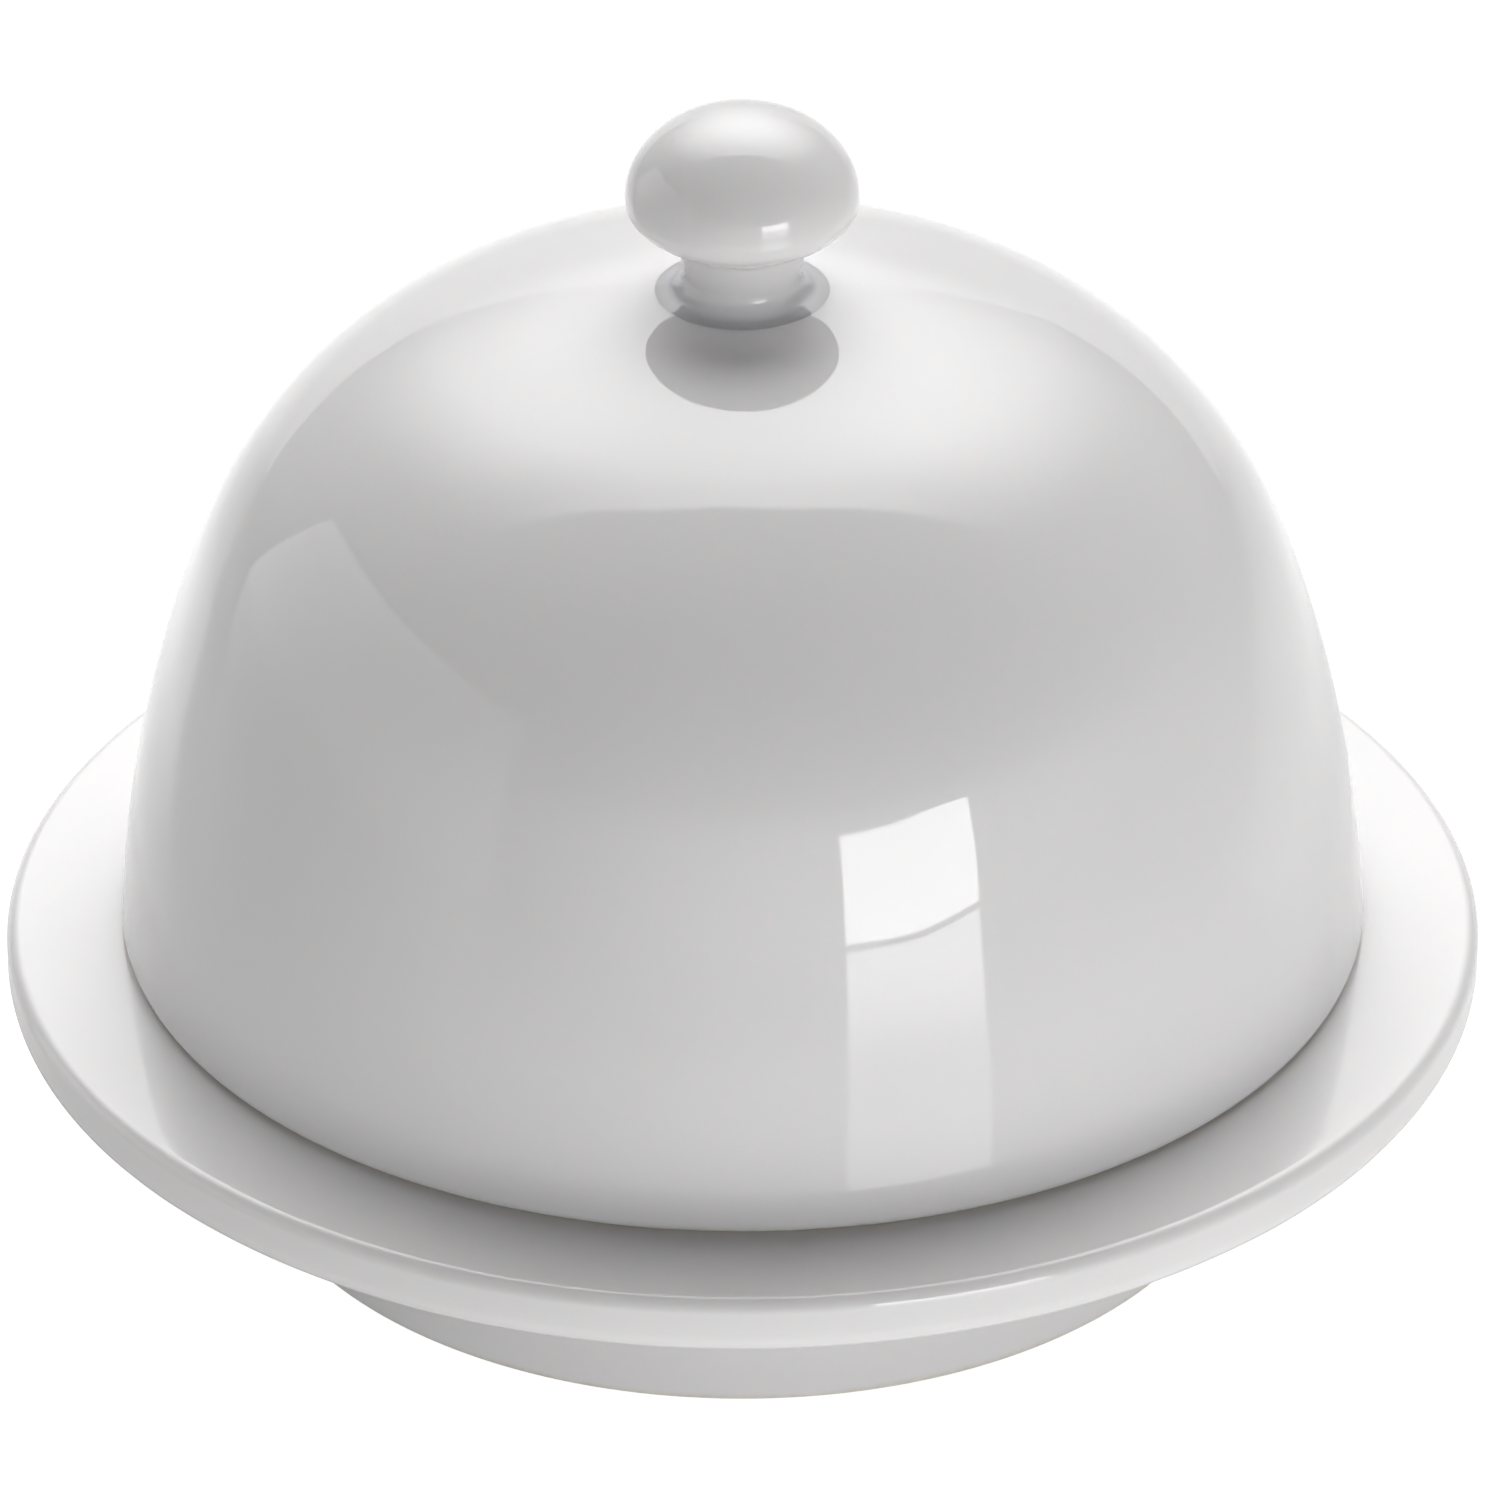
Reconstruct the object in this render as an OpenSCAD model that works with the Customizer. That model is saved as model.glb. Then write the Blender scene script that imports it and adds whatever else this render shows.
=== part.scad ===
// Round porcelain butter dish: a footed dish, a bell-shaped cover that
// stands on the dish's flat rim, and a mushroom knob joined to the cover's
// crown. Every piece is turned about one vertical axis.
// Millimetres, +Z up. The origin is the centre of the foot on the table.

/* [Dish] */
// Outer diameter of the dish over its rim
dish_d = 125; // [121:0.5:135]
// Height of the flat rim that the cover stands on
rim_z = 22.6; // [20.6:0.1:24]
// Thickness of the rim at its outer edge
rim_t = 5.3; // [4.6:0.1:6]
// Rounding of the rim's upper edge
rim_top_r = 1.2; // [0.6:0.1:1.8]
// Rounding of the rim's lower edge
rim_low_r = 2.4; // [1:0.1:2.8]
// Outer diameter of the foot at the table
foot_d = 85.2; // [82:0.2:87]
// Width of the foot ring at the table
foot_w = 3.4; // [2.6:0.1:4.2]
// Height of the well's floor above the table
floor_z = 9; // [8.2:0.1:9.8]
// Thickness of the well's floor
floor_t = 4.6; // [4:0.1:5]
// Radius of the hollow sweep between the foot's wall and the rim's underside
sweep_r = 10; // [7:0.5:10.5]
// Diameter of the flat-bottomed well at its floor
well_floor_d = 76.4; // [74:0.2:78]
// Diameter of the well at the locating bead
well_top_d = 93.4; // [91:0.2:94]
// Height of the bead that keeps the cover centred
bead_h = 1.2; // [0.8:0.1:1.8]

/* [Cover] */
// Outer diameter of the cover's shell where its side starts
cover_d = 105.4; // [104:0.2:109]
// Height of the side's first point above the flat rim
edge_h = 1.2; // [1.1:0.05:1.6]
// Lean of the side at its foot, in degrees from upright
lean_foot = 3.64; // [2:0.02:6]
// Lean where the side turns into the shoulder, in degrees from upright
lean_side = 20.87; // [18:0.01:24]
// Lean where the shoulder turns into the crown, in degrees from upright
lean_shoulder = 70.23; // [64:0.01:76]
// Profile radius of the side
side_r = 113.1; // [108:0.1:118]
// Profile radius of the shoulder
shoulder_r = 34.9; // [33:0.1:37]
// Wall thickness at the cover's edge
wall_edge = 3.5; // [3:0.1:4]
// Wall thickness at the crown
wall_crown = 4.1; // [3.2:0.1:5]
// Rounding of the cover's edge, inside
edge_in_r = 0.7; // [0.3:0.1:0.8]

/* [Knob] */
// Diameter of the knob's head
knob_d = 19.4; // [18:0.1:21]
// Height of the head's widest ring above the crown
knob_z = 8.2; // [7.8:0.1:9.5]
// Height of the head above its widest ring
knob_up = 7.6; // [6:0.1:9]
// Depth of the head below its widest ring
knob_down = 4.3; // [3.8:0.1:4.8]
// Diameter of the neck where it meets the head
neck_d = 10.6; // [10.2:0.1:11]
// Taper of the neck's side towards the crown, in degrees from upright
neck_taper = 9; // [7:0.5:11]
// Diameter of the neck's flared base on the crown
neck_base_d = 14.4; // [14.4:0.1:16]
// Radius of the hollow flare between the neck and the crown
flare_r = 1.6; // [1.2:0.1:1.7]
// Radius of the small hollow between the neck and the head
collar_r = 0.8; // [0.5:0.1:1]

/* [Hidden] */
$fn = 96;
corner_step = 5;                    // most degrees between points of a rounding
curve_step = corner_step / 2;       // the same on the cover's and knob's curves
porcelain = [0.93, 0.93, 0.92];

// ---- profile helpers, all in the (radius, height) half-plane ----

function unit(v) = v / norm(v);
function direction(angle) = [cos(angle), sin(angle)];
function angle_of(v) = atan2(v[1], v[0]);

// The same turn, taken the short way round
function short_turn(turn) =
    turn > 180 ? turn - 360 : turn < -180 ? turn + 360 : turn;

// Arc that rounds the corner between the points before and after it
function round_corner(before, corner, after, radius) =
    let (to_before = unit(before - corner),
         to_after = unit(after - corner),
         half = acos(to_before * to_after) / 2,
         back = radius / tan(half),
         centre = corner + unit(to_before + to_after) * radius / sin(half),
         start = angle_of(corner + to_before * back - centre),
         end = angle_of(corner + to_after * back - centre),
         turn = short_turn(end - start),
         steps = max(2, ceil(abs(turn) / corner_step)))
    [for (i = [0 : steps]) centre + radius * direction(start + turn * i / steps)];

// Rounds the corners of a closed outline of [radius, height, rounding]
function rounded(outline) =
    let (count = len(outline),
         points = [for (row = outline) [row[0], row[1]]])
    [for (i = [0 : count - 1])
        each (outline[i][2] == 0 ? [points[i]]
            : round_corner(points[(i + count - 1) % count], points[i],
                           points[(i + 1) % count], outline[i][2]))];

// Angles from start to end in even steps, both ends included
function sweep(start, end) =
    let (steps = max(2, ceil(abs(end - start) / curve_step)))
    [for (i = [0 : steps]) start + (end - start) * i / steps];

// ---- dish ----

dish_r = dish_d / 2;
foot_r = foot_d / 2;
foot_in_r = foot_r - foot_w;        // inside of the foot ring at the table
foot_in_slant = 1.2;                // how far the ring's inside slants inwards
foot_out_slant = 0.5;               // how far its outside slants outwards
under_slope = 0.07;                 // fall of the rim's underside towards the foot
under_z = rim_z - rim_t;            // underside of the rim at its outer edge
under_foot_z = under_z - under_slope * (dish_r - foot_r);
well_top_r = well_top_d / 2;
bead_z = rim_z + bead_h;
bead_w = 1.5;                       // width of the bead's top
bead_slant = 0.4;                   // how far its outer side spreads to the rim

// Radius, height, rounding
dish_outline = [
    [0, floor_z - floor_t, 0],
    [foot_in_r - foot_in_slant, floor_z - floor_t, 1.6],
    [foot_in_r, 0, 0.6],
    [foot_r, 0, 0.5],
    [foot_r + foot_out_slant, under_foot_z, sweep_r],
    [dish_r, under_z, rim_low_r],
    [dish_r, rim_z, rim_top_r],
    [well_top_r + bead_w + bead_slant, rim_z, 0.5],
    [well_top_r + bead_w, bead_z, 0.6],
    [well_top_r, bead_z, 0.7],
    [well_floor_d / 2, floor_z, 3],
    [0, floor_z, 0]
];

module dish()
    color(porcelain) rotate_extrude() polygon(rounded(dish_outline));

// ---- cover ----

// Point at one lean on an arc that starts at another
function arc_point(start, radius, start_lean, lean) =
    start + radius * (direction(lean) - direction(start_lean));

side_start = [cover_d / 2, rim_z + edge_h];
shoulder_start = arc_point(side_start, side_r, lean_foot, lean_side);
crown_start = arc_point(shoulder_start, shoulder_r, lean_side, lean_shoulder);
// The crown's arc ends level on the axis
crown_r = crown_start[0] / cos(lean_shoulder);
crown_z = crown_start[1] + crown_r * (1 - sin(lean_shoulder));

// Point of the outer surface at a lean
function outer(lean) =
    lean <= lean_side ? arc_point(side_start, side_r, lean_foot, lean)
    : lean <= lean_shoulder ? arc_point(shoulder_start, shoulder_r, lean_side, lean)
    : [0, crown_z - crown_r] + crown_r * direction(lean);

// Point of the inner surface at a lean, one wall thickness inside
function wall(lean) = wall_edge + (wall_crown - wall_edge) * lean / 90;
function inner(lean) = outer(lean) - wall(lean) * direction(lean);

// Leans from the edge up to an end on the crown; each arc after the first
// starts a little past the joint, so that no point comes twice
function leans_to(end) = concat(
    sweep(lean_foot, lean_side),
    sweep(lean_side + 1, lean_shoulder),
    sweep(lean_shoulder + 0.5, end)
);

// The knob's flat seat on the crown
seat_r = neck_base_d / 2;
seat_lean = acos(seat_r / crown_r);
seat_z = outer(seat_lean)[1];

inner_end_lean = 88.5;              // last inner point before the axis
inner_leans = leans_to(inner_end_lean);

// Where the leaning side would meet the flat rim, outside and inside
inner_start = inner(lean_foot);
edge_out = [side_start[0] + edge_h * tan(lean_foot), rim_z];
edge_in = [inner_start[0] + (inner_start[1] - rim_z) * tan(lean_foot), rim_z];
// Outside rounding, just short of reaching the side's first point
edge_out_r = 0.99 * edge_h / (1 + sin(lean_foot));

cover_outline = concat(
    round_corner(inner_start, edge_in, edge_out, edge_in_r),
    round_corner(edge_in, edge_out, outer(lean_foot), edge_out_r),
    [for (lean = leans_to(seat_lean)) outer(lean)],
    [[0, seat_z], [0, crown_z - wall_crown]],
    [for (i = [len(inner_leans) - 1 : -1 : 0]) inner(inner_leans[i])]
);

module cover()
    color(porcelain) rotate_extrude() polygon(cover_outline);

// ---- knob ----

head_z = crown_z + knob_z;
head_r = knob_d / 2;
neck_r = neck_d / 2;

// Point of the head, a half ellipse of the given height (negative: below)
function head_point(angle, height) =
    [head_r * cos(angle), head_z + height * sin(angle)];

// The head's underside ends short of the neck and runs on straight to it
join_gap = 2.2;
join_angle = acos((neck_r + join_gap) / head_r);
join = head_point(join_angle, -knob_down);
join_slope = knob_down * cos(join_angle) / (head_r * sin(join_angle));
neck_top = [neck_r, join[1] + join_slope * (neck_r - join[0])];

// Where the neck's tapering side would meet the flare's foot
root_z = seat_z + 0.3;
neck_root = [neck_r - (neck_top[1] - root_z) * tan(neck_taper), root_z];
flare_edge = [seat_r, seat_z + 0.03];

knob_outline = concat(
    [[0, seat_z], [seat_r, seat_z]],
    round_corner(flare_edge, neck_root, neck_top, flare_r),
    round_corner(neck_root, neck_top, join, collar_r),
    [for (angle = sweep(join_angle, 0)) head_point(angle, -knob_down)],
    [for (angle = sweep(2, 90)) head_point(angle, knob_up)]
);

module knob()
    color(porcelain) rotate_extrude() polygon(knob_outline);

dish();
cover();
knob();
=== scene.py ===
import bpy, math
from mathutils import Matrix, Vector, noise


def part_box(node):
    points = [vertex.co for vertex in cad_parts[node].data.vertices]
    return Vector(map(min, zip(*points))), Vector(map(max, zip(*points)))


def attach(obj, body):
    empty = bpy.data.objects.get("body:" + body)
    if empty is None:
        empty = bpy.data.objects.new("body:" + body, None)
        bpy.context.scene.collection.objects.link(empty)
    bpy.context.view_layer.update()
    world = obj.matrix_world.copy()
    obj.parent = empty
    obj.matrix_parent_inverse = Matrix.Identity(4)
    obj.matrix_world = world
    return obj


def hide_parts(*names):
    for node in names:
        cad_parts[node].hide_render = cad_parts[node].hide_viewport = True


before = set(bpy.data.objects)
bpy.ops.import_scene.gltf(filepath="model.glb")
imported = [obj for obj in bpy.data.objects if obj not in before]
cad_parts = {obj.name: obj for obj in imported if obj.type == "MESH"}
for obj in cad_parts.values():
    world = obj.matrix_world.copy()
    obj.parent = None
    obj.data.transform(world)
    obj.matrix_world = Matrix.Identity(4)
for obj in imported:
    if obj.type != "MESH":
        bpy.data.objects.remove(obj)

# Round porcelain butter dish: a dish, a domed cover standing on its rim and a
# knob on the crown. All three are bodies of revolution about the Z axis, the
# dish stands on z = 0, and the camera looks from -Y.
# Profiles are (radius, height) in millimetres; meshes are in metres.

scene = bpy.context.scene
MM = 0.001


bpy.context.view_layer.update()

# ---------------------------------------------------------------- sizes
# heights and radii that the frame gives
dish_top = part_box("dish")[1]
cover_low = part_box("cover")[0]
knob_low, knob_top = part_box("knob")
DISH_R = dish_top[0] / MM         # outer radius of the rim
RIM_Z = cover_low[2] / MM         # flat rim that the cover stands on
BEAD_Z = dish_top[2] / MM         # top of the locating bead
SEAT_Z = knob_low[2] / MM         # flat seat of the knob on the crown
KNOB_Z = knob_top[2] / MM         # top of the knob

# dish
RIM_T = 5.3
UNDER_SLOPE = 0.07                # fall of the rim's underside towards the foot
UNDER_STEP = 0.5                  # from the foot out to the start of that underside
FOOT_R, FOOT_W = 42.6, 3.4
FOOT_LEAN = 1.2                   # inward lean of the foot ring's inner side
FLOOR_Z, FLOOR_T, WELL_R = 9.0, 4.6, 38.2
BEAD_R = 46.7                     # inner edge of the bead's top
BEAD_TOP_W, BEAD_ROOT_W = 1.5, 1.9
DISH_GAP = 1.1                    # longest step along the profile
FLAT_BAND = (46, 54)              # radii between which the rim is left true

# cover: side, shoulder and crown arcs that run on smoothly into each other.
# A lean is the angle of the outward normal above level.
EDGE_LEAN, SIDE_LEAN, SHOULDER_LEAN = (math.radians(a) for a in (3.64, 20.87, 70.23))
LAST_INNER_LEAN = math.radians(89.2)
SIDE_R, SHOULDER_R = 113.1, 34.9
BASE_R, EDGE_H = 52.7, 1.2        # where the side arc starts, above the rim
WALL_EDGE, WALL_CROWN = 3.5, 4.1
INNER_EDGE_ROUND = 0.7
SEAT_R = 7.2

# knob
HEAD_R = knob_top[0] / MM
HEAD_LIFT = 8.2                   # widest part of the head above the crown
HEAD_DOWN = 4.3                   # depth of the head below its widest part
NECK_R, NECK_TAPER = 5.3, math.radians(9)
NECK_FLARE = 2.2                  # from the neck out to where the head starts
ROOT_LIFT, SEAT_BEVEL, SEAT_LIFT = 0.3, 0.15, 0.004
KNOB_GAP = 0.5                    # longest step along the profile

ARC_STEP = 3.0                    # largest turn in a rounded corner, degrees
DISH_SEGS, COVER_SEGS, KNOB_SEGS = 320, 320, 160


# ---------------------------------------------------------------- profile tools
def unit(x, z):
    length = math.hypot(x, z)
    return x / length, z / length


def corner(before, tip, after, radius):
    """Points of the arc that rounds the corner at tip."""
    u = unit(before[0] - tip[0], before[1] - tip[1])
    w = unit(after[0] - tip[0], after[1] - tip[1])
    half = math.acos(max(-1, min(1, u[0] * w[0] + u[1] * w[1]))) / 2
    back = radius / math.tan(half)
    inward = unit(u[0] + w[0], u[1] + w[1])
    mid = [tip[k] + inward[k] * radius / math.sin(half) for k in (0, 1)]
    start, end = (
        math.degrees(math.atan2(tip[1] + side[1] * back - mid[1], tip[0] + side[0] * back - mid[0]))
        for side in (u, w))
    turn = (end - start + 180) % 360 - 180
    n = max(3, math.ceil(abs(turn) / ARC_STEP))
    angles = [math.radians(start + turn * i / n) for i in range(n + 1)]
    return [(mid[0] + radius * math.cos(a), mid[1] + radius * math.sin(a)) for a in angles]


def rounded(path):
    """Points of a closed path of (radius, height, rounding) corners."""
    out = []
    for i, (r, z, rounding) in enumerate(path):
        if rounding == 0:
            out.append((r, z))
        else:
            out += corner(path[i - 1][:2], (r, z), path[(i + 1) % len(path)][:2], rounding)
    return out


def fill(points, gap):
    """Adds even points so that no step is longer than gap, then drops
    points that all but coincide."""
    out = [points[0]]
    for p, q in zip(points, points[1:]):
        n = max(1, math.ceil(math.hypot(q[0] - p[0], q[1] - p[1]) / gap))
        out += [(p[0] + (q[0] - p[0]) * i / n, p[1] + (q[1] - p[1]) * i / n)
                for i in range(1, n + 1)]
    clean = [out[0]]
    for p in out[1:]:
        if math.hypot(p[0] - clean[-1][0], p[1] - clean[-1][1]) > 0.02:
            clean.append(p)
    return clean


def spread(start, end, n):
    return [start + (end - start) * i / n for i in range(n + 1)]


# ---------------------------------------------------------------- dish profile
def dish_profile():
    under_z = RIM_Z - RIM_T
    return fill(rounded([
        # radius, height, rounding
        (0, FLOOR_Z - FLOOR_T, 0),
        (FOOT_R - FOOT_W - FOOT_LEAN, FLOOR_Z - FLOOR_T, 1.6),
        (FOOT_R - FOOT_W, 0, 0.6),
        (FOOT_R, 0, 0.5),
        (FOOT_R + UNDER_STEP, under_z - UNDER_SLOPE * (DISH_R - FOOT_R), 10),
        (DISH_R, under_z, 2.4),
        (DISH_R, RIM_Z, 1.2),
        (BEAD_R + BEAD_ROOT_W, RIM_Z, 0.5),
        (BEAD_R + BEAD_TOP_W, BEAD_Z, 0.6),
        (BEAD_R, BEAD_Z, 0.7),
        (WELL_R, FLOOR_Z, 3.0),
        (0, FLOOR_Z, 0),
    ]), DISH_GAP)


# ---------------------------------------------------------------- cover profile
def along(start, start_lean, radius, lean):
    """The point with the given lean on an arc that leaves start."""
    return (start[0] + radius * (math.cos(lean) - math.cos(start_lean)),
            start[1] + radius * (math.sin(lean) - math.sin(start_lean)))


EDGE = (BASE_R, RIM_Z + EDGE_H)
SIDE_END = along(EDGE, EDGE_LEAN, SIDE_R, SIDE_LEAN)
SHOULDER_END = along(SIDE_END, SIDE_LEAN, SHOULDER_R, SHOULDER_LEAN)
CROWN_R = SHOULDER_END[0] / math.cos(SHOULDER_LEAN)
CROWN_Z = SHOULDER_END[1] + CROWN_R * (1 - math.sin(SHOULDER_LEAN))


def outer(lean):
    if lean <= SIDE_LEAN:
        return along(EDGE, EDGE_LEAN, SIDE_R, lean)
    if lean <= SHOULDER_LEAN:
        return along(SIDE_END, SIDE_LEAN, SHOULDER_R, lean)
    return (CROWN_R * math.cos(lean), CROWN_Z - CROWN_R * (1 - math.sin(lean)))


def inner(lean):
    r, z = outer(lean)
    wall = WALL_EDGE + (WALL_CROWN - WALL_EDGE) * lean / (math.pi / 2)
    return (r - wall * math.cos(lean), z - wall * math.sin(lean))


def cover_leans(side_n, shoulder_n, crown_n, last):
    return (spread(EDGE_LEAN, SIDE_LEAN, side_n)[:-1]
            + spread(SIDE_LEAN, SHOULDER_LEAN, shoulder_n)[:-1]
            + spread(SHOULDER_LEAN, last, crown_n))


def cover_profile():
    outer_leans = cover_leans(26, 34, 12, math.acos(SEAT_R / CROWN_R))
    inner_leans = cover_leans(22, 26, 12, LAST_INNER_LEAN)
    inner_edge = inner(EDGE_LEAN)
    foot_in = (inner_edge[0] + (inner_edge[1] - RIM_Z) * math.tan(EDGE_LEAN), RIM_Z)
    foot_out = (BASE_R + EDGE_H * math.tan(EDGE_LEAN), RIM_Z)
    # the outer rounding all but reaches the start of the side arc
    outer_round = 0.99 * EDGE_H / (1 + math.sin(EDGE_LEAN))
    return (corner(inner_edge, foot_in, foot_out, INNER_EDGE_ROUND)
            + corner(foot_in, foot_out, outer(EDGE_LEAN), outer_round)
            + [outer(lean) for lean in outer_leans]
            + [(0, SEAT_Z), (0, CROWN_Z - WALL_CROWN)]
            + [inner(lean) for lean in reversed(inner_leans)])


# ---------------------------------------------------------------- knob profile
HEAD_Z = CROWN_Z + HEAD_LIFT


def head_low(angle):
    return (HEAD_R * math.cos(angle), HEAD_Z - HEAD_DOWN * math.sin(angle))


def head_high(angle):
    return (HEAD_R * math.cos(angle), HEAD_Z + (KNOB_Z - HEAD_Z) * math.sin(angle))


def knob_profile():
    # the head's underside runs on along its tangent until it meets the neck
    join_angle = math.acos((NECK_R + NECK_FLARE) / HEAD_R)
    join = head_low(join_angle)
    tangent = unit(-HEAD_R * math.sin(join_angle), -HEAD_DOWN * math.cos(join_angle))
    neck = (NECK_R, join[1] + tangent[1] / tangent[0] * (NECK_R - join[0]))
    root_z = SEAT_Z + ROOT_LIFT
    root = (NECK_R - (neck[1] - SEAT_Z - ROOT_LIFT) * math.tan(NECK_TAPER), root_z)
    seat_edge = (SEAT_R, SEAT_Z + SEAT_LIFT)
    points = (
        [(0, SEAT_Z), (SEAT_R - SEAT_BEVEL, SEAT_Z), seat_edge]
        + corner(seat_edge, root, neck, 1.6)
        + corner(root, neck, join, 0.8)
        + [head_low(a) for a in spread(join_angle, 0, 24)]
        + [head_high(a) for a in spread(0.05, math.pi / 2, 46)])
    apart = [p for i, p in enumerate(points) if i == 0 or math.dist(p, points[i - 1]) > 0.01]
    return fill(apart, KNOB_GAP)


# ---------------------------------------------------------------- glaze waver
def ripple(seed, height, size):
    """Soft unevenness of a fired glaze, in mm, as a function of the place."""
    offset = Vector((seed * 7.31, seed * 3.17, seed * 5.93))

    def at(x, y, z):
        p = Vector((x, y, z)) / size + offset
        return height * (0.7 * noise.noise(p) + 0.3 * noise.noise(p * 2.3))
    return at


cover_glaze = ripple(seed=1, height=0.05, size=13.0)
dish_glaze = ripple(seed=2, height=0.04, size=12.0)
knob_glaze = ripple(seed=3, height=0.03, size=6.0)


def fade(value):
    return min(1.0, max(0.0, value))


# Each waver dies out where the piece touches another, or the table.
def cover_waver(x, y, z):
    return (cover_glaze(x, y, z) * fade((z - RIM_Z - 0.4) / 3.0)
            * fade((math.hypot(x, y) - SEAT_R) / 4.0))


def dish_waver(x, y, z):
    r = math.hypot(x, y)
    if z > RIM_Z - 0.3 and FLAT_BAND[0] < r < FLAT_BAND[1]:
        return 0.0
    return dish_glaze(x, y, z) * fade(z / 2.0) * fade(r / 6.0)


def knob_waver(x, y, z):
    return (knob_glaze(x, y, z) * fade((z - SEAT_Z - 0.5) / 2.0)
            * fade(math.hypot(x, y) / 3.0))


# ---------------------------------------------------------------- meshes
def lathe(name, profile, segs, waver):
    """A solid of revolution. Points on the axis become one pole vertex.
    waver(x, y, z) moves a point along its profile normal."""
    n = len(profile)
    verts, rings = [], []
    for i, (r, z) in enumerate(profile):
        if r < 1e-6:
            rings.append([len(verts)])
            verts.append((0.0, 0.0, z * MM))
            continue
        before, after = profile[i - 1], profile[(i + 1) % n]
        tangent_r, tangent_z = unit(after[0] - before[0], after[1] - before[1])
        ring = []
        for s in range(segs):
            angle = 2 * math.pi * s / segs
            cos, sin = math.cos(angle), math.sin(angle)
            shift = waver(r * cos, r * sin, z)
            new_r, new_z = r + shift * tangent_z, z - shift * tangent_r
            ring.append(len(verts))
            verts.append((new_r * cos * MM, new_r * sin * MM, new_z * MM))
        rings.append(ring)
    faces = []
    for i in range(n):
        low, high = rings[i], rings[(i + 1) % n]
        if len(low) == 1 and len(high) == 1:
            continue
        for s in range(segs):
            t = (s + 1) % segs
            if len(low) == 1:
                faces.append((low[0], high[t], high[s]))
            elif len(high) == 1:
                faces.append((low[s], low[t], high[0]))
            else:
                faces.append((low[s], low[t], high[t], high[s]))
    mesh = bpy.data.meshes.new(name)
    mesh.from_pydata(verts, [], faces)
    mesh.validate()
    mesh.update()
    mesh.polygons.foreach_set("use_smooth", [True] * len(mesh.polygons))
    mesh.set_sharp_from_angle(angle=math.radians(40))
    ob = bpy.data.objects.new(name, mesh)
    scene.collection.objects.link(ob)
    return ob


dish = lathe("butter_dish_base", dish_profile(), DISH_SEGS, dish_waver)
cover = lathe("butter_dish_cover", cover_profile(), COVER_SEGS, cover_waver)
knob = lathe("butter_dish_knob", knob_profile(), KNOB_SEGS, knob_waver)


# ---------------------------------------------------------------- node tools
class Graph:
    """The node tree of a material or world, emptied and built by short calls.
    Inputs take either a number or another node's output."""

    def __init__(self, owner):
        owner.use_nodes = True
        self.tree = owner.node_tree
        self.tree.nodes.clear()

    def feed(self, socket, value):
        if hasattr(value, "links"):
            self.tree.links.new(value, socket)
        else:
            socket.default_value = value

    def node(self, kind, *slots, **inputs):
        """A node with inputs given by position or, with _ for space, by name."""
        made = self.tree.nodes.new("ShaderNode" + kind)
        for socket, value in zip(made.inputs, slots):
            self.feed(socket, value)
        for name, value in inputs.items():
            self.feed(made.inputs[name.replace("_", " ")], value)
        return made

    def math(self, operation, *values):
        made = self.node("Math")
        made.operation = operation
        for socket, value in zip(made.inputs, values):
            self.feed(socket, value)
        return made.outputs[0]

    def step(self, value, start, end, out_start=0.0, out_end=1.0):
        """A smooth step from out_start to out_end."""
        made = self.node("MapRange")
        made.interpolation_type = "SMOOTHSTEP"
        numbers = (value, start, end, out_start, out_end)
        for name, number in zip(("Value", "From Min", "From Max", "To Min", "To Max"), numbers):
            self.feed(made.inputs[name], number)
        return made.outputs["Result"]

    def band(self, angle, low, high, soft):
        """1 between two angles, 0 outside; limits and softness in degrees."""
        up = self.step(angle, math.radians(low - soft), math.radians(low + soft))
        down = self.step(angle, math.radians(high + soft), math.radians(high - soft))
        return self.math("MULTIPLY", up, down)

    def between(self, share, start, end):
        """Level start where share is 0, end where share is 1."""
        return self.math("MULTIPLY_ADD", share, self.math("SUBTRACT", end, start), start)

    def mix(self, data_type, share, first, second):
        made = self.node("Mix")
        made.data_type = data_type
        in_first, in_second, out = {"FLOAT": (2, 3, 0), "RGBA": (6, 7, 2)}[data_type]
        for index, value in ((0, share), (in_first, first), (in_second, second)):
            self.feed(made.inputs[index], value)
        return made.outputs[out]

    def noise(self, scale, detail, **inputs):
        return self.node("TexNoise", Scale=scale, Detail=detail, **inputs).outputs["Fac"]

    def ramp(self, value, *stops):
        """A two-stop colour ramp; a stop is (position, colour)."""
        made = self.node("ValToRGB", value)
        for element, (position, colour) in zip(made.color_ramp.elements, stops):
            element.position = position
            element.color = (*colour, 1)
        return made.outputs[0]

    def around(self, turn, levels):
        """The level at a turn about the upright axis, read from a ring of
        evenly spaced levels that starts and ends behind the object."""
        ring = [*levels, levels[0]]
        peak = max(ring)
        made = self.node("ValToRGB")
        made.color_ramp.interpolation = "LINEAR"
        stops = made.color_ramp.elements
        for i in range(1, len(ring) - 1):
            stops.new(i / (len(ring) - 1))
        for stop, level in zip(stops, ring):
            stop.color = (level / peak, level / peak, level / peak, 1)
        # a turn of -pi..pi becomes 0..1
        self.feed(made.inputs[0], self.math("MULTIPLY_ADD", turn, 0.5 / math.pi, 0.5))
        return self.math("MULTIPLY", made.outputs[0], peak)

    def lamp_heading(self):
        """The level direction away from the camera, as x and y. The lamps keep
        their place beside the camera, as if the object stood on a turntable."""
        parts = []
        for axis in ((0, 0, 1), (0, 1, 0)):
            turned = self.node("VectorTransform", Vector=axis)
            turned.vector_type = "VECTOR"
            turned.convert_from, turned.convert_to = "CAMERA", "WORLD"
            parts.append(self.node("SeparateXYZ", turned.outputs[0]).outputs)
        x = self.math("ADD", parts[0][0], parts[1][0])
        y = self.math("ADD", parts[0][1], parts[1][1])
        length = self.math("SQRT", self.math("MULTIPLY_ADD", x, x, self.math("MULTIPLY", y, y)))
        return self.math("DIVIDE", x, length), self.math("DIVIDE", y, length)


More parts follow.
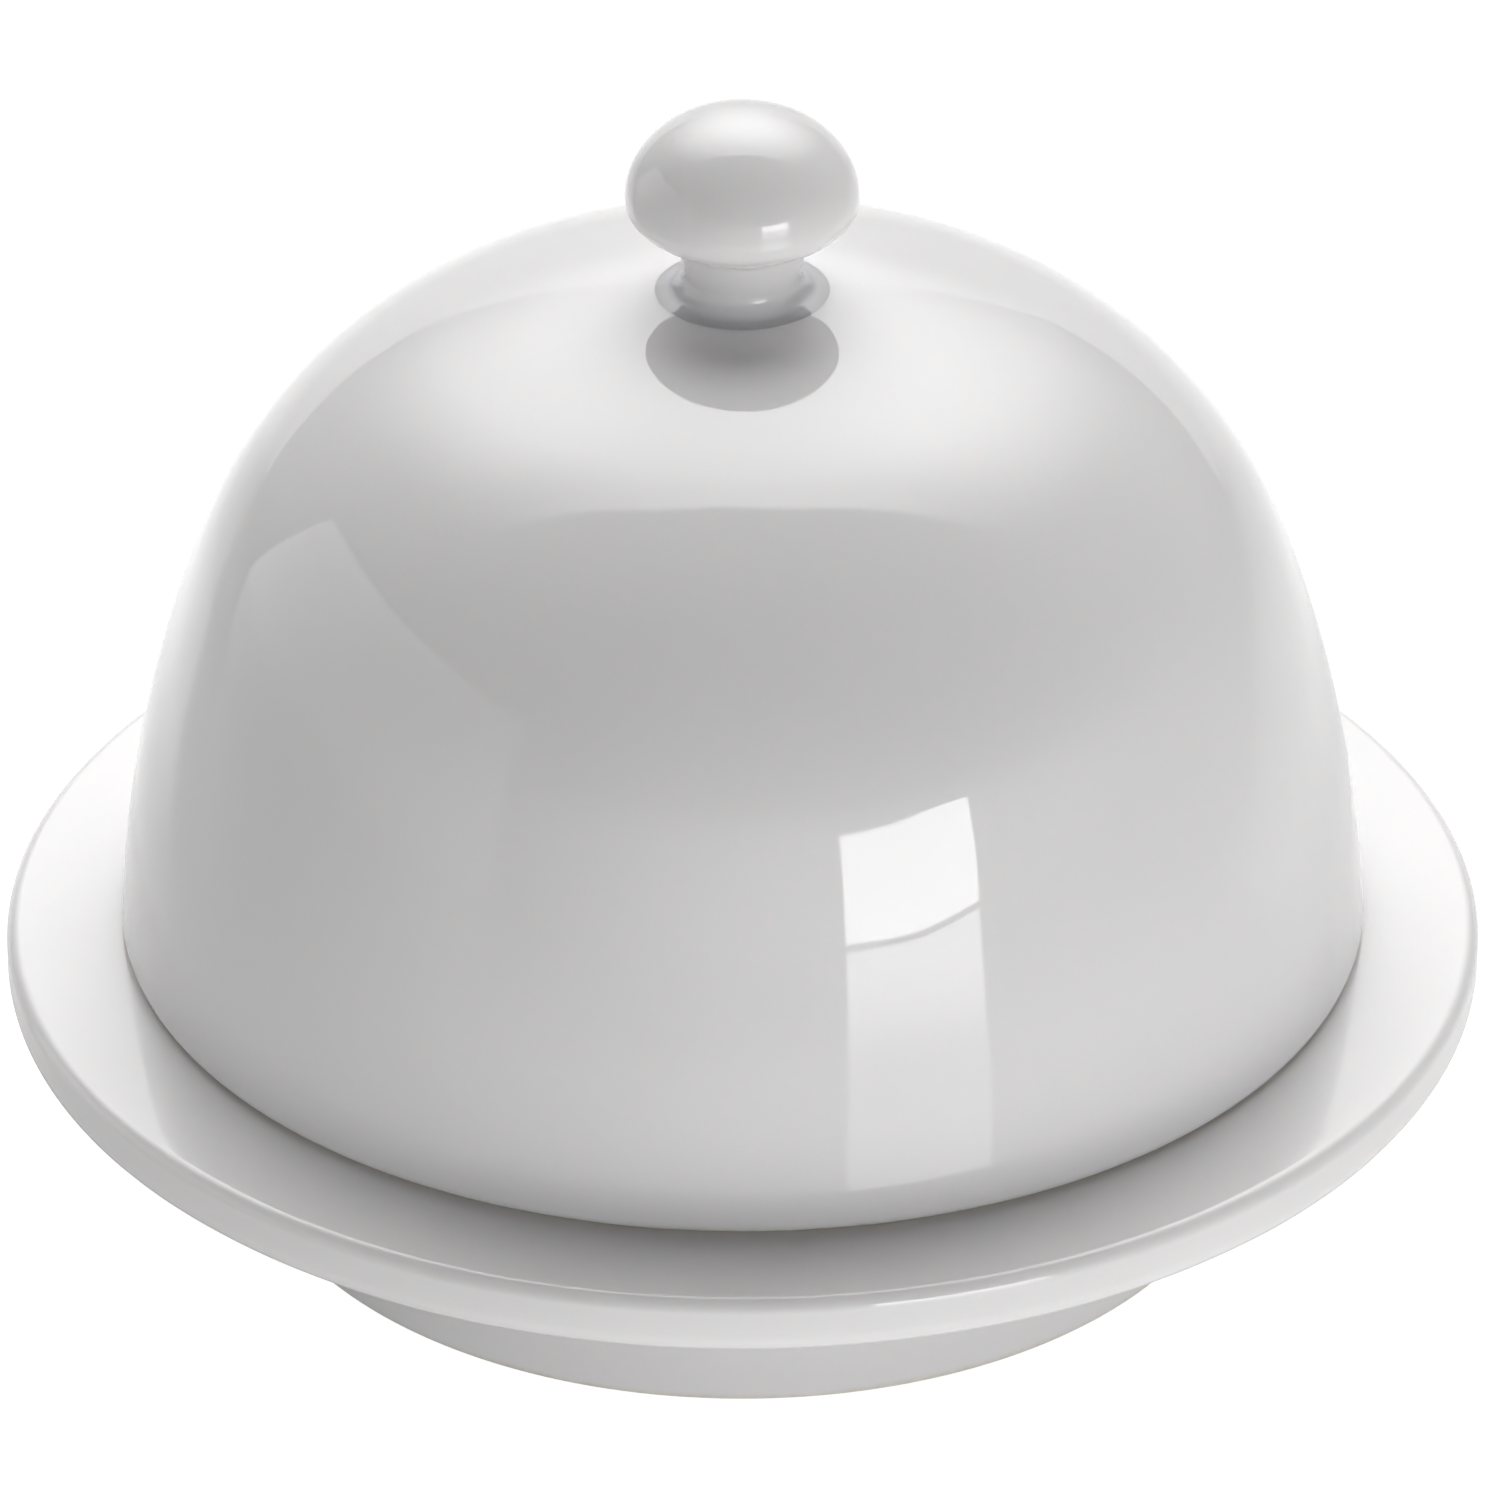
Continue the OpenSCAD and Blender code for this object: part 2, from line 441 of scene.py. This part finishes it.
# ---------------------------------------------------------------- porcelain
WHITES = (0.852, 0.842, 0.846), (0.876, 0.865, 0.869)       # drift of the glazed white
BARE_CLAYS = (0.66, 0.63, 0.565), (0.82, 0.80, 0.745)
SPECK_COLOUR = (0.45, 0.42, 0.37, 1)
SPECK_CUT, SPECK_STRENGTH = 0.988, 0.35     # cells above the cut hold a speck
BARE_ROUGH = 0.62
PEEL_H, WAVE_H, GRIT_H = 0.000004, 0.000030, 0.00006        # relief, metres


def body_colour(g, spot, grit, mask):
    """Near-neutral white with a faint drift and rare specks; bare clay under the mask."""
    drift = g.noise(scale=28.0, detail=2.0, Vector=spot)
    white = g.ramp(drift, (0.3, WHITES[0]), (0.7, WHITES[1]))
    cells = g.node("TexVoronoi", Scale=210.0, Vector=spot).outputs
    chance = g.node("SeparateColor", cells["Color"]).outputs[0]
    dot = g.math("MULTIPLY", g.math("GREATER_THAN", chance, SPECK_CUT),
                 g.step(cells["Distance"], start=0.10, end=0.03))
    share = g.math("MULTIPLY", dot, SPECK_STRENGTH)
    glazed = g.mix("RGBA", share, white, SPECK_COLOUR)
    bisque = g.ramp(grit, (0.25, BARE_CLAYS[0]), (0.75, BARE_CLAYS[1]))
    return g.mix("RGBA", mask, glazed, bisque)


def polish(g, spot, mask):
    """Glossy glaze with a very slightly uneven polish; bare zones are matt."""
    haze = g.noise(scale=60.0, detail=3.0, Vector=spot)
    gloss = g.step(haze, start=0.3, end=0.7, out_start=0.015, out_end=0.04)
    return g.mix("FLOAT", mask, gloss, BARE_ROUGH)


def relief(g, spot, grit, mask):
    """Orange-peel of the glaze and the sanded grain of the bare clay."""
    peel = g.noise(scale=230.0, detail=2.0, Vector=spot)
    wave = g.noise(scale=75.0, detail=1.0, Vector=spot)
    height = g.math("ADD", g.math("MULTIPLY", peel, PEEL_H), g.math("MULTIPLY", wave, WAVE_H))
    grain = g.math("MULTIPLY", g.math("MULTIPLY", grit, mask), GRIT_H)
    height = g.math("ADD", height, grain)
    return g.node("Bump", Strength=1.0, Distance=1.0, Height=height).outputs[0]


def porcelain(name, bare):
    """White hard porcelain under a clear glaze. bare(g, place) gives a 0..1
    mask of the wiped, unglazed zones, from the x, y and z outputs."""
    material = bpy.data.materials.new(name)
    g = Graph(material)
    spot = g.node("TexCoord").outputs["Object"]
    mask = bare(g, g.node("SeparateXYZ", spot).outputs)
    grit = g.noise(scale=900.0, detail=5.0, Roughness=0.7, Vector=spot)
    surface = g.node(
        "BsdfPrincipled",
        Base_Color=body_colour(g, spot, grit, mask),
        Roughness=polish(g, spot, mask),
        IOR=1.52,
        Subsurface_Weight=0.5,
        Subsurface_Radius=(1.0, 0.92, 0.80),
        Subsurface_Scale=0.0025,
        Normal=relief(g, spot, grit, mask))
    g.node("OutputMaterial", Surface=surface.outputs[0])
    return material


def in_mm(g, length):
    return g.math("MULTIPLY", length, 1000.0)


def radius_mm(g, place):
    x, y = in_mm(g, place[0]), in_mm(g, place[1])
    return g.math("SQRT", g.math("ADD", g.math("MULTIPLY", x, x), g.math("MULTIPLY", y, y)))


def wavy_height(g, place, amount):
    """Height in mm, made uneven by the given amount."""
    spot = g.node("TexCoord").outputs["Object"]
    centred = g.math("SUBTRACT", g.noise(scale=90.0, detail=2.0, Vector=spot), 0.5)
    return g.math("ADD", in_mm(g, place[2]), g.math("MULTIPLY", centred, amount))


def bare_foot(g, place):
    foot_in = FOOT_R - FOOT_W
    ring = g.step(radius_mm(g, place), start=foot_in - 1.4, end=foot_in - 0.9)
    ring = g.math("MULTIPLY", ring, 1.0)    # strength of the wiped ring
    return g.math("MULTIPLY", g.step(wavy_height(g, place, 0.5), start=0.75, end=0.35), ring)


def bare_edge(g, place):
    return g.step(wavy_height(g, place, 0.35), start=RIM_Z + 0.75, end=RIM_Z + 0.40)


def bare_nowhere(g, place):
    return g.math("MULTIPLY", radius_mm(g, place), 0.0)


for ob, slot_name, bare, body, cad in (
        (dish, "dish_porcelain", bare_foot, "dish", "dish"),
        (cover, "cover_porcelain", bare_edge, "cover", "cover"),
        (knob, "knob_porcelain", bare_nowhere, "cover", "knob")):
    ob.data.materials.append(porcelain(slot_name, bare))
    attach(ob, body)
    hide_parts(cad)

# ---------------------------------------------------------------- floor
# Levels of the floor's glow, which is painted light for the object, are relative to a surface that
# just reads as white. A ring of levels runs from behind the object round by the left, the camera
# and the right.
# painted shade: the glow is low under the rim, where the object shades the table
FLOOR_NEAR = [0.27, 0.05, 0.46, 0.42]       # under the rim
FLOOR_RINGS = (
    # distances where the ring fades in (m), levels
    (0.06, 0.085, [0.7, 0.78, 0.46, 0.47, 0.86, 0.88, 0.74, 0.52]),
    (0.11, 0.15, [0.63, 0.69, 0.34, 0.34, 1.28, 1.06, 0.66, 0.39]),
    (0.22, 0.32, [0.5, 0.5, 0.26, 0.25, 0.4, 0.45, 0.45, 0.35]),
)
# painted light: the sheet adds a brighter patch to the glow of the table behind
SHEET_LEVEL = 0.5                           # white sheet on the table behind
SHEET_RIGHT, SHEET_LEFT = (0.78, 0.20), (0.80, 0.08)    # spread with distance, start (m)
STRIPE_LEVEL = 1.9
FLOOR_SEEN = 0.93                           # what the camera sees
FLOOR_GREYS = (0.29,) * 3, (0.31,) * 3
WINDOW_TURN = (18.5, 44.3)                  # the low window's sides, degrees


def sheet_share(g, side, away, dist):
    """The white sheet behind the object, with straight sides."""
    right = g.math("SUBTRACT", side, g.math("MULTIPLY_ADD", away, *SHEET_RIGHT))
    left = g.math("ADD", side, g.math("MULTIPLY_ADD", away, *SHEET_LEFT))
    sides = g.math("MULTIPLY", g.step(right, start=0.01, end=-0.01),
                   g.step(left, start=-0.01, end=0.01))
    near = g.math("MULTIPLY", g.step(away, start=0.0, end=0.02),
                  g.step(dist, start=0.11, end=0.16))
    return g.math("MULTIPLY", sides, near)


def stripe_share(g, incoming, head_x, head_y, dist):
    """The window's mirror image lies along the table in a stripe, so it
    depends on the heading of the ray that meets the table."""
    x, y, _ = g.node("SeparateXYZ", incoming).outputs
    side = g.math("SUBTRACT", g.math("MULTIPLY", y, head_x), g.math("MULTIPLY", x, head_y))
    away = g.math("MULTIPLY_ADD", x, head_x, g.math("MULTIPLY", y, head_y))
    stripe = g.band(g.math("ARCTAN2", side, away), *WINDOW_TURN, soft=0.6)
    return g.math("MULTIPLY", stripe, g.step(dist, start=0.095, end=0.112))


def table_white():
    """Matt white, softly lit. To the object it also glows, and that glow is painted light: the
    object receives less from close by, a painted shade where it shades the table, and from the
    left."""
    material = bpy.data.materials.new("pale_floor")
    g = Graph(material)
    grey = g.ramp(g.noise(scale=3.0, detail=2.0), (0, FLOOR_GREYS[0]), (1, FLOOR_GREYS[1]))
    matt = g.node("BsdfDiffuse", Color=grey)
    geometry = g.node("NewGeometry").outputs
    x, y, _ = g.node("SeparateXYZ", geometry["Position"]).outputs
    head_x, head_y = g.lamp_heading()
    side = g.math("SUBTRACT", g.math("MULTIPLY", x, head_y), g.math("MULTIPLY", y, head_x))
    away = g.math("MULTIPLY_ADD", x, head_x, g.math("MULTIPLY", y, head_y))
    # the tiny addend keeps the root above zero
    dist = g.math("SQRT", g.math("MULTIPLY_ADD", x, x, g.math("MULTIPLY_ADD", y, y, 1e-6)))
    turn = g.math("ARCTAN2", side, g.math("MULTIPLY", away, -1.0))
    given = g.around(turn, FLOOR_NEAR)
    for start, end, levels in FLOOR_RINGS:
        given = g.between(g.step(dist, start, end), given, g.around(turn, levels))
    sheet = sheet_share(g, side, away, dist)
    given = g.math("MULTIPLY_ADD", sheet, SHEET_LEVEL, given)
    stripe = stripe_share(g, geometry["Incoming"], head_x, head_y, dist)
    given = g.math("MULTIPLY_ADD", stripe, STRIPE_LEVEL, given)
    camera_ray = g.node("LightPath").outputs["Is Camera Ray"]
    glow = g.node("Emission", Strength=g.mix("FLOAT", camera_ray, given, FLOOR_SEEN))
    lit = g.node("AddShader", matt.outputs[0], glow.outputs[0])
    # its polish shows in the object only
    gloss = g.node("BsdfGlossy", Roughness=0.12)
    share = g.math("MULTIPLY", g.node("Fresnel", IOR=1.45).outputs[0],
                   g.math("SUBTRACT", 1.0, camera_ray))
    surface = g.node("MixShader", share, lit.outputs[0], gloss.outputs[0])
    g.node("OutputMaterial", Surface=surface.outputs[0])
    return material


floor_material = table_white()
bpy.ops.mesh.primitive_plane_add(size=6.0, location=(0, 0, 0))
floor = bpy.context.active_object
floor.name = "floor"
floor.data.materials.append(floor_material)

# ---------------------------------------------------------------- light
# In the lamps' frame +Y points away from the camera, X to its right, Z up.
# Turns are 0 at the camera and grow to its right; angles are in degrees.
SOFT_LEFT = (5.37, 5.34)            # diffuser levels: low part, high part
SOFT_RIGHT = (4.46, 5.44)
SOFT_TILT = math.radians(54)        # height of the diffuser's centre
SOFT_SHIFT = 0.05                   # its centre line, to the right
SOFT_EDGE_SLOPE = 0.18              # lean of its front edge behind the upright
SOFT_MIN = 0.05                     # guards the division near its plane
WINDOW_LEVEL, WINDOW_RISE = 7.3, (-0.1, 9.7)
CARD_LEVELS = (0.95, 0.6)           # pale card on the left: far end, near end
CARD_FAR, CARD_NEAR = -121, -47     # turns of its ends
CARD_FACING = math.radians(-74)
CARD_TOP = 0.585                    # top edge's height over its distance
CARD_LEAN, CARD_LEAN_AT = 0.35, 22  # lean of the far end, and height where it is at CARD_FAR
SWEEP_LEVEL = 0.6                   # white backdrop behind, above the table's edge
SWEEP_TAPER = 1.17
ROOM_LOW = [0.05, 0.1, 0.0, 0.15, 1.05, 0.95, 0.4, 0.0]
ROOM_MID = [0.0, 0.05, 0.0, 0.0, 0.1, 0.03, 0.0, 0.05]


def diffuser(g, dx, dy, dz):
    """Large diffuser overhead and behind, brightest in the middle, with a
    straight front edge just behind the upright."""
    cos, sin = math.cos(SOFT_TILT), math.sin(SOFT_TILT)
    ahead = g.math("MULTIPLY_ADD", dy, cos, g.math("MULTIPLY", dz, sin))
    up = g.math("SUBTRACT", g.math("MULTIPLY", dz, cos), g.math("MULTIPLY", dy, sin))
    safe = g.math("MAXIMUM", ahead, SOFT_MIN)
    across = g.math("SUBTRACT", g.math("DIVIDE", dx, safe), SOFT_SHIFT)
    off_centre = g.math("ABSOLUTE", across)
    rise = g.math("DIVIDE", up, safe)
    low = g.step(rise, start=-0.93, end=0.04)
    high = g.step(rise, start=0.0, end=0.42, out_start=1.0, out_end=0.58)
    behind = g.math("SUBTRACT", dy, g.math("MULTIPLY", dz, SOFT_EDGE_SLOPE))
    edge = g.math("MULTIPLY", g.step(behind, start=-0.02, end=0.03),
                  g.math("GREATER_THAN", ahead, SOFT_MIN))
    right = g.step(across, start=-0.5, end=0.5)
    top = g.step(rise, start=-0.5, end=0.3)
    level = g.between(right, g.between(top, *SOFT_LEFT), g.between(top, *SOFT_RIGHT))
    middle = g.math("MULTIPLY", g.step(off_centre, start=1.0, end=0.0), high)
    return g.math("MULTIPLY", g.math("MULTIPLY", low, edge), g.math("MULTIPLY", middle, level))


def side_card(g, dx, dy, dz, turn, height):
    """Upright card on the left, square to the direction it faces."""
    facing = g.math("SUBTRACT", g.math("MULTIPLY", dx, math.sin(CARD_FACING)),
                    g.math("MULTIPLY", dy, math.cos(CARD_FACING)))
    over = g.math("SUBTRACT", dz, g.math("MULTIPLY", facing, CARD_TOP))
    top = g.step(over, start=0.008, end=-0.008)
    far_at_0 = math.radians(CARD_FAR - CARD_LEAN_AT * CARD_LEAN)
    far_edge = g.math("MULTIPLY_ADD", height, CARD_LEAN, far_at_0)
    far = g.step(g.math("SUBTRACT", turn, far_edge), start=-0.01, end=0.01)
    near = g.step(turn, math.radians(CARD_NEAR + 0.7), math.radians(CARD_NEAR - 0.7))
    near = g.math("MULTIPLY", near, g.math("GREATER_THAN", facing, 0.0))
    along_card = g.step(turn, math.radians(CARD_FAR), math.radians(CARD_NEAR))
    level = g.between(along_card, *CARD_LEVELS)
    return g.math("MULTIPLY", g.math("MULTIPLY", top, far), g.math("MULTIPLY", near, level))


def backdrop(g, turn, height):
    """Share of the backdrop behind, which narrows as it rises."""
    from_back = g.math("SUBTRACT", math.pi, g.math("ABSOLUTE", turn))
    spread_out = g.math("MULTIPLY_ADD", height, SWEEP_TAPER, from_back)
    return g.math("MULTIPLY", g.step(spread_out, math.radians(38), math.radians(36)),
                  g.step(height, math.radians(34), math.radians(14)))


def studio():
    world = bpy.data.worlds.new("studio")
    scene.world = world
    g = Graph(world)
    head_x, head_y = g.lamp_heading()
    direction = g.node("TexCoord").outputs["Generated"]
    x, y, dz = g.node("SeparateXYZ", direction).outputs
    dy = g.math("MULTIPLY_ADD", x, head_x, g.math("MULTIPLY", y, head_y))
    dx = g.math("SUBTRACT", g.math("MULTIPLY", x, head_y), g.math("MULTIPLY", y, head_x))
    turn = g.math("ARCTAN2", dx, g.math("MULTIPLY", dy, -1.0))
    height = g.math("ARCSINE", dz)

    total = diffuser(g, dx, dy, dz)
    # small low window, front right
    window = g.math("MULTIPLY", g.band(turn, *WINDOW_TURN, soft=0.4),
                    g.band(height, *WINDOW_RISE, soft=0.15))
    total = g.math("MULTIPLY_ADD", window, WINDOW_LEVEL, total)
    total = g.math("ADD", side_card(g, dx, dy, dz, turn, height), total)
    total = g.math("MULTIPLY_ADD", backdrop(g, turn, height), SWEEP_LEVEL, total)
    # what is left of the room, low down and half way up
    rise = g.step(height, math.radians(8), math.radians(16))
    below = g.math("SUBTRACT", 1.0, rise)
    total = g.math("MULTIPLY_ADD", below, g.around(turn, ROOM_LOW), total)
    half_way = g.math("MULTIPLY", rise, g.step(height, math.radians(60), math.radians(45)))
    total = g.math("MULTIPLY_ADD", half_way, g.around(turn, ROOM_MID), total)
    # the camera itself sees a plain white studio
    camera_ray = g.node("LightPath").outputs["Is Camera Ray"]
    seen = g.mix("FLOAT", camera_ray, total, 1.0)
    background = g.node("Background", Color=(1, 1, 1, 1), Strength=seen)
    g.node("OutputWorld", Surface=background.outputs[0])


studio()

# ---------------------------------------------------------------- camera
CAM_RISE, CAM_DIST = math.radians(30.02), 0.875
AIM_X, AIM_Z = 0.00063, 0.0375

cam_data = bpy.data.cameras.new("camera")
cam_data.lens, cam_data.sensor_width = 248.93, 36.0
cam_data.clip_start, cam_data.clip_end = 0.01, 20.0
cam = bpy.data.objects.new("camera", cam_data)
scene.collection.objects.link(cam)
to_camera = Vector((0, -math.cos(CAM_RISE), math.sin(CAM_RISE)))
cam.location = Vector((AIM_X, 0, AIM_Z)) + to_camera * CAM_DIST
cam.rotation_mode = "QUATERNION"
cam.rotation_quaternion = (-to_camera).to_track_quat("-Z", "Y")
scene.camera = cam

scene.view_settings.view_transform = "Standard"
scene.view_settings.look = "None"
scene.view_settings.exposure = 0.0
scene.view_settings.gamma = 1.0
